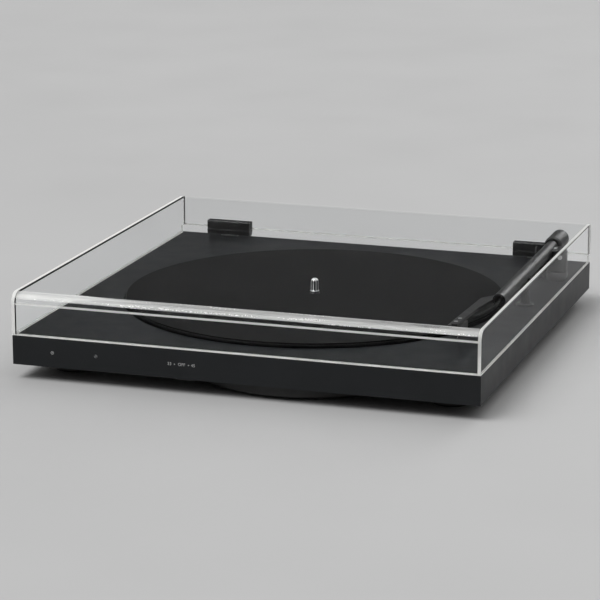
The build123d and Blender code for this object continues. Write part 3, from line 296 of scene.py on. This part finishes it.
def sheet_painted_glow(look):
    """Painted glow and highlights on the bent sheet: 1 on its ends, lower edges, notches and back bend
    and on a thin line where the front bend meets the front face, and painted glints in streaks round
    its front bend.
    """
    z = look.place("Z")
    ahead = look.below(look.place("Y"), 0.0)
    behind = look.above(look.place("Y"), 0.0)
    # painted glow on the sheet's cut ends
    ends = look.above(look.size_of(look.facing("X")), 0.5)
    # painted glow along the lower edges and the notches
    front_low = look.both(ahead, look.below(z, LID_LOW + EDGE_GLOW))
    back_low = look.both(behind, look.below(z, BACK_LOW + EDGE_GLOW))
    notches = look.both(look.below(look.facing("Z"), -0.9), look.below(z, TANGENT_LOW))
    # painted highlight: a thin line where the front bend meets the front face
    tangent = look.both(look.below(look.facing("Y"), -0.9), look.within(z, TANGENT_LOW, TANGENT_HIGH))
    tangent = look.both(tangent, ahead)
    # painted glints: streaks of the pale strip round the front bend
    painted_glints = look.span(look.noise(260, 4, 0.65, stretch=(0.05, 1.0, 1.0)), 0.32, 0.85)
    front_bend = look.both(look.below(look.facing("Y"), -0.10), look.above(look.facing("Z"), 0.48))
    # painted highlight: a thin strip along the top of the back bend
    back_bend = look.both(look.above(look.facing("Y"), 0.02),
                          look.within(z, LID_TOP - BACK_BEND_HIGHLIGHT, LID_TOP))
    bends = look.most(look.both(front_bend, painted_glints), back_bend)
    painted_glow = ends
    for more in (front_low, back_low, notches, tangent, bends):
        painted_glow = look.most(painted_glow, more)
    return painted_glow


def lens():
    look = Look("lens", IOR=1.46, Transmission_Weight=0.6)
    look.colour(look.noise(400, 2), (0.16, 0.165, 0.17), (0.24, 0.245, 0.25))
    look.rough(look.noise(500, 2), 0.2, 0.32)
    return look.mat


def mark_ink():
    look = Look("mark_ink")
    look.colour(look.noise(900, 3), grey(0.36), grey(0.46))
    look.rough(look.noise(700, 2), 0.5, 0.6)
    return look.mat


LOOKS = {
    "plinth_satin": satin_paint(),
    "under_plastic": under_plastic(),
    "foot_rubber": rubber("foot_rubber", 0.008, 0.014),
    "belt_rubber": rubber("belt_rubber", 0.006, 0.010),
    "felt": felt(),
    "platter_metal": satin_black("platter_metal", 0.0035, 0.0055, 0.42, 0.52, 0.12),
    "bright_steel": brushed("bright_steel", grey(0.66), grey(0.80), 0.28, 0.38, ring=True),
    "steel": brushed("steel", grey(0.48), grey(0.60), 0.25, 0.38),
    "brass": brushed("brass", (0.50, 0.35, 0.14), (0.66, 0.48, 0.20), 0.22, 0.34),
    "clear_acrylic": acrylic("clear_sheet", sheet_painted_glow),
    "hinge_plastic": satin_black("hinge_plastic", 0.011, 0.016, 0.38, 0.48),
    "arm_black": satin_black("arm_black", 0.0065, 0.0095, 0.40, 0.48),
    "arm_grey": satin_black("arm_grey", 0.055, 0.075, 0.34, 0.44),
    "cartridge_plastic": satin_black("cartridge_plastic", 0.009, 0.014, 0.30, 0.42),
    "board": board(),
    "lens": lens(),
}

PLATE_LOOK = acrylic("clear_plate", plate_painted_glow)
OWN_LOOKS = {
    "lid_side_left": PLATE_LOOK,
    "lid_side_right": PLATE_LOOK,
    "spindle": spindle_steel(),
}

for name, obj in nodes.items():
    for i, given in enumerate(obj.data.materials):
        obj.data.materials[i] = OWN_LOOKS.get(name, LOOKS[given.name])


# ---- floor, light and camera --------------------------------------------------------------------

def plain_floor():
    mesh = bpy.data.meshes.new("floor")
    work = bmesh.new()
    bmesh.ops.create_grid(work, x_segments=1, y_segments=1, size=14.0)
    work.to_mesh(mesh)
    work.free()
    made = bpy.data.objects.new("floor", mesh)
    bpy.context.scene.collection.objects.link(made)
    look = Look("floor_pale", roughness=0.6)
    look.colour(look.noise(3, 3), grey(0.47), grey(0.49))
    look.rough(look.noise(9, 3), 0.55, 0.65)
    made.data.materials.append(look.mat)
    return made


def sun(name, strength, azimuth, elevation, angle):
    """A soft distant lamp; azimuth 0 is in front of the object and 90 to its right."""
    data = bpy.data.lights.new(name, "SUN")
    data.energy = strength
    data.angle = math.radians(angle)
    made = bpy.data.objects.new(name, data)
    a, e = math.radians(azimuth), math.radians(elevation)
    place = Vector((math.sin(a) * math.cos(e), -math.cos(a) * math.cos(e), math.sin(e)))
    made.location = place * 3
    made.rotation_mode = "QUATERNION"
    made.rotation_quaternion = place.to_track_quat("Z", "Y")
    bpy.context.scene.collection.objects.link(made)
    return made


def studio():
    """Plain surroundings: pale near the floor and overhead, darker between."""
    world = bpy.data.worlds.new("studio")
    bpy.context.scene.world = world
    world.use_nodes = True
    tree = world.node_tree
    back = tree.nodes["Background"]
    where = tree.nodes.new("ShaderNodeTexCoord").outputs["Generated"]
    split = tree.nodes.new("ShaderNodeSeparateXYZ")
    ramp = tree.nodes.new("ShaderNodeValToRGB")
    tree.links.new(where, split.inputs[0])
    tree.links.new(split.outputs["Z"], ramp.inputs["Fac"])
    stops = [(0.0, 0.55), (0.05, 0.55), (0.11, 0.05), (0.33, 0.05),
             (0.42, 0.42), (0.62, 0.62), (1.0, 0.62)]     # height, brightness
    ramp.color_ramp.elements[0].position = stops[0][0]
    ramp.color_ramp.elements[1].position = stops[-1][0]
    for place, _ in stops[1:-1]:
        ramp.color_ramp.elements.new(place)
    for element, (_, value) in zip(ramp.color_ramp.elements, stops):
        element.color = (value, value, value, 1)
    tree.links.new(ramp.outputs["Color"], back.inputs["Color"])


def camera():
    """The photo's camera, as fitted to the plinth's and lid's corners."""
    data = bpy.data.cameras.new("camera")
    data.sensor_width = 36.0
    data.lens = 161.6
    data.clip_start = 0.05
    data.clip_end = 60
    made = bpy.data.objects.new("camera", data)
    right = Vector((0.9501, 0.3119, -0.0009)).normalized()
    ahead = Vector((-0.3023, 0.9202, -0.2486)).normalized()
    up = right.cross(ahead).normalized()
    made.matrix_world = Matrix.Translation((0.6373, -1.9814, 0.5656)) @ Matrix(
        (right, up, -ahead)).transposed().to_4x4()
    bpy.context.scene.collection.objects.link(made)
    bpy.context.scene.camera = made


plain_floor()
sun("key", 1.9, -35, 58, 38)
sun("rim", 0.62, 168, 23, 26)
studio()
camera()
bpy.context.scene.view_settings.view_transform = "Standard"


# ---- marks on the front edge --------------------------------------------------------------------

INK = mark_ink()
FRONT_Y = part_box("plinth_shell")[0].y
MARK_Z = PLINTH_TOP - 11.3 * MM
PAIR_MARK_X = -149.9 * MM
PAIR_MARK_Z = PLINTH_TOP - 11.0 * MM
MARK_PROUD = 0.02 * MM
LETTER_HEIGHT = 2.4 * MM
CAP_SHARE = 0.73     # height of a capital in the built-in face, as a share of its size


def on_front(name, mesh, x, z):
    """Set a flat piece, drawn in X and Y with its face up, on the plinth's front."""
    upright = Matrix.Rotation(math.pi / 2, 4, "X")
    mesh.transform(Matrix.Translation((x, FRONT_Y - MARK_PROUD, z)) @ upright)
    mesh.materials.clear()
    mesh.materials.append(INK)
    made = bpy.data.objects.new(name, mesh)
    bpy.context.scene.collection.objects.link(made)
    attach(made, "plinth")
    return made


def word(name, text, x):
    """A printed mark in plain letters, centred on x."""
    curve = bpy.data.curves.new(name, "FONT")
    curve.body = text
    curve.align_x = "CENTER"
    curve.align_y = "CENTER"
    curve.size = LETTER_HEIGHT / CAP_SHARE
    temp = bpy.data.objects.new(name + "_text", curve)
    bpy.context.scene.collection.objects.link(temp)
    bpy.context.view_layer.update()
    mesh = bpy.data.meshes.new_from_object(temp)
    bpy.data.objects.remove(temp)
    return on_front(name, mesh, x, MARK_Z)


def ring(name, x, z, outer, inner, steps=48):
    """A flat ring, or a dot where inner is 0."""
    work = bmesh.new()

    def circle_of(radius):
        return [work.verts.new((radius * math.cos(a), radius * math.sin(a), 0))
                for a in (2 * math.pi * i / steps for i in range(steps))]

    circle = circle_of(outer)
    if inner:
        hole = circle_of(inner)
        for i in range(steps):
            j = (i + 1) % steps
            work.faces.new((circle[i], circle[j], hole[j], hole[i]))
    else:
        work.faces.new(circle)
    mesh = bpy.data.meshes.new(name)
    work.to_mesh(mesh)
    work.free()
    return on_front(name, mesh, x, z)


word("mark_33", "33", -55.6 * MM)
word("mark_off", "OFF", -46.0 * MM)
word("mark_45", "45", -36.9 * MM)
for place, x in (("left", -51.6), ("right", -40.5)):
    ring("mark_dot_" + place, x * MM, MARK_Z, 0.42 * MM, 0)
ring("mark_pair_ring", PAIR_MARK_X, PAIR_MARK_Z, 1.25 * MM, 0.95 * MM)
ring("mark_pair_dot", PAIR_MARK_X, PAIR_MARK_Z, 0.45 * MM, 0)
